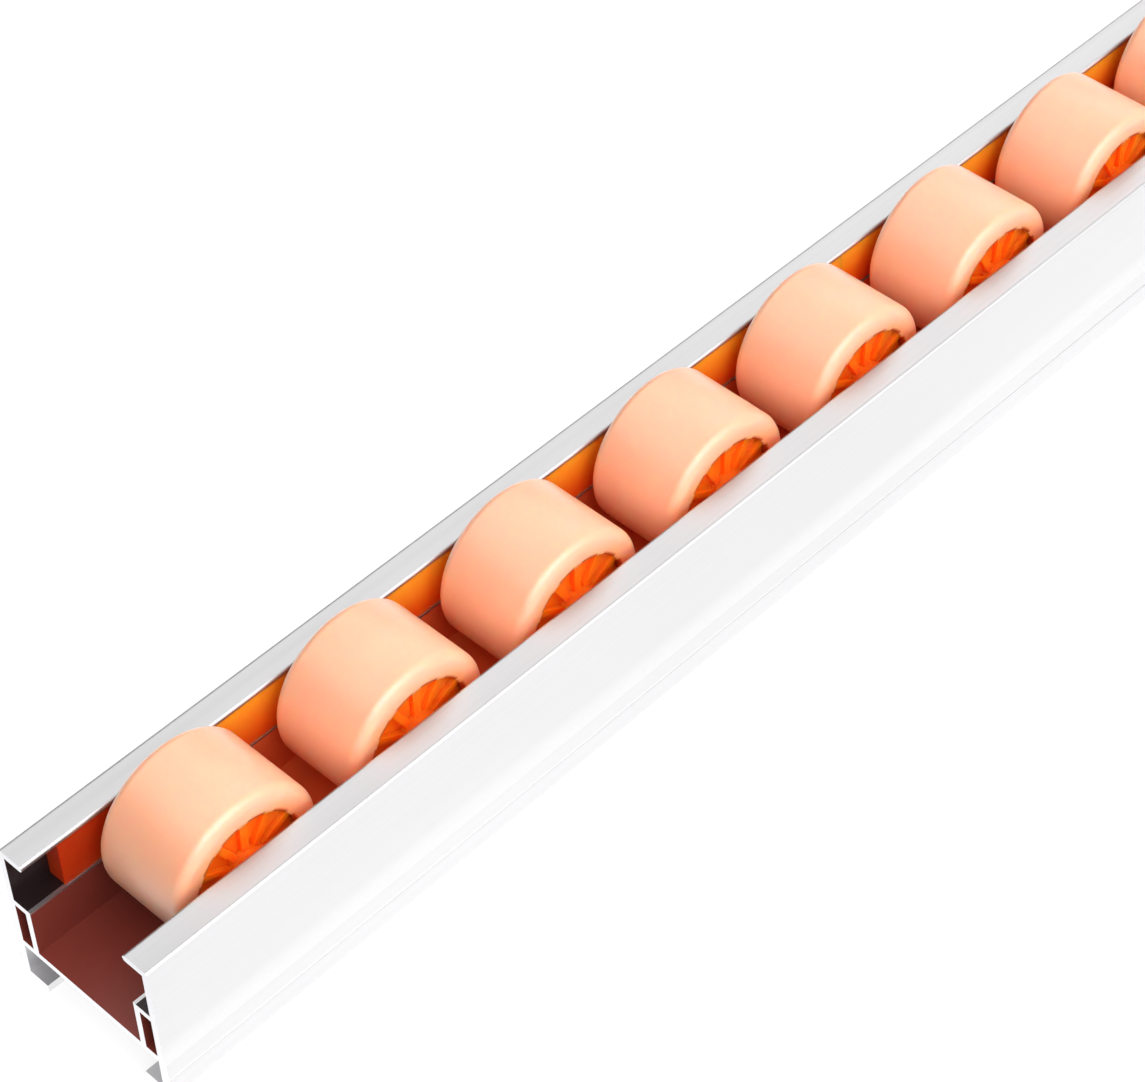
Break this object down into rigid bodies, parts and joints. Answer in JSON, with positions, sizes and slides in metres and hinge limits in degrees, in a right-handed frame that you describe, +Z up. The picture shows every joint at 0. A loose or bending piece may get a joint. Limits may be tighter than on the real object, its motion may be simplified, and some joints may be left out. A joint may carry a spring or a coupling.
{
  "type": "flow rack roller track",
  "caption": "Straight light-metal channel with inward lips, holding a row of free-turning soft-tread rollers on cross axles between two moulded carrier strips.",
  "frame": {"origin": "middle of the base, at the level of the feet's undersides", "axes": "+X along the track, +Y across it, parallel to the axles, +Z up"},
  "size_m": [0.4444, 0.0412, 0.0465],
  "materials": {
    "channel": "satin anodised",
    "carrier": "moulded, slight sheen",
    "axle": "drawn bar",
    "hub": "moulded",
    "tread": "soft, slightly translucent, satin"
  },
  "bodies": {
    "frame": {"channel": "channel", "near_carrier_left": "carrier", "near_carrier_right": "carrier", "far_carrier_left": "carrier", "far_carrier_right": "carrier", "axle_1": "axle", "axle_2": "axle", "axle_3": "axle", "axle_4": "axle", "axle_5": "axle", "axle_6": "axle", "axle_7": "axle", "axle_8": "axle", "axle_9": "axle", "axle_10": "axle"},
    "roller_1": {"hub_1": "hub", "tread_1": "tread"},
    "roller_2": {"hub_2": "hub", "tread_2": "tread"},
    "roller_3": {"hub_3": "hub", "tread_3": "tread"},
    "roller_4": {"hub_4": "hub", "tread_4": "tread"},
    "roller_5": {"hub_5": "hub", "tread_5": "tread"},
    "roller_6": {"hub_6": "hub", "tread_6": "tread"},
    "roller_7": {"hub_7": "hub", "tread_7": "tread"},
    "roller_8": {"hub_8": "hub", "tread_8": "tread"},
    "roller_9": {"hub_9": "hub", "tread_9": "tread"},
    "roller_10": {"hub_10": "hub", "tread_10": "tread"}
  },
  "joints": [
    {"name": "roller_1_spin", "type": "hinge", "parent": "frame", "child": "roller_1", "pos_m": [-0.19125, 0, 0.0295], "axis": [0, 1, 0], "continuous": true},
    {"name": "roller_2_spin", "type": "hinge", "parent": "frame", "child": "roller_2", "pos_m": [-0.14875, 0, 0.0295], "axis": [0, 1, 0], "continuous": true},
    {"name": "roller_3_spin", "type": "hinge", "parent": "frame", "child": "roller_3", "pos_m": [-0.10625, 0, 0.0295], "axis": [0, 1, 0], "continuous": true},
    {"name": "roller_4_spin", "type": "hinge", "parent": "frame", "child": "roller_4", "pos_m": [-0.06375, 0, 0.0295], "axis": [0, 1, 0], "continuous": true},
    {"name": "roller_5_spin", "type": "hinge", "parent": "frame", "child": "roller_5", "pos_m": [-0.02125, 0, 0.0295], "axis": [0, 1, 0], "continuous": true},
    {"name": "roller_6_spin", "type": "hinge", "parent": "frame", "child": "roller_6", "pos_m": [0.02125, 0, 0.0295], "axis": [0, 1, 0], "continuous": true},
    {"name": "roller_7_spin", "type": "hinge", "parent": "frame", "child": "roller_7", "pos_m": [0.06375, 0, 0.0295], "axis": [0, 1, 0], "continuous": true},
    {"name": "roller_8_spin", "type": "hinge", "parent": "frame", "child": "roller_8", "pos_m": [0.10625, 0, 0.0295], "axis": [0, 1, 0], "continuous": true},
    {"name": "roller_9_spin", "type": "hinge", "parent": "frame", "child": "roller_9", "pos_m": [0.14875, 0, 0.0295], "axis": [0, 1, 0], "continuous": true},
    {"name": "roller_10_spin", "type": "hinge", "parent": "frame", "child": "roller_10", "pos_m": [0.19125, 0, 0.0295], "axis": [0, 1, 0], "continuous": true}
  ]
}
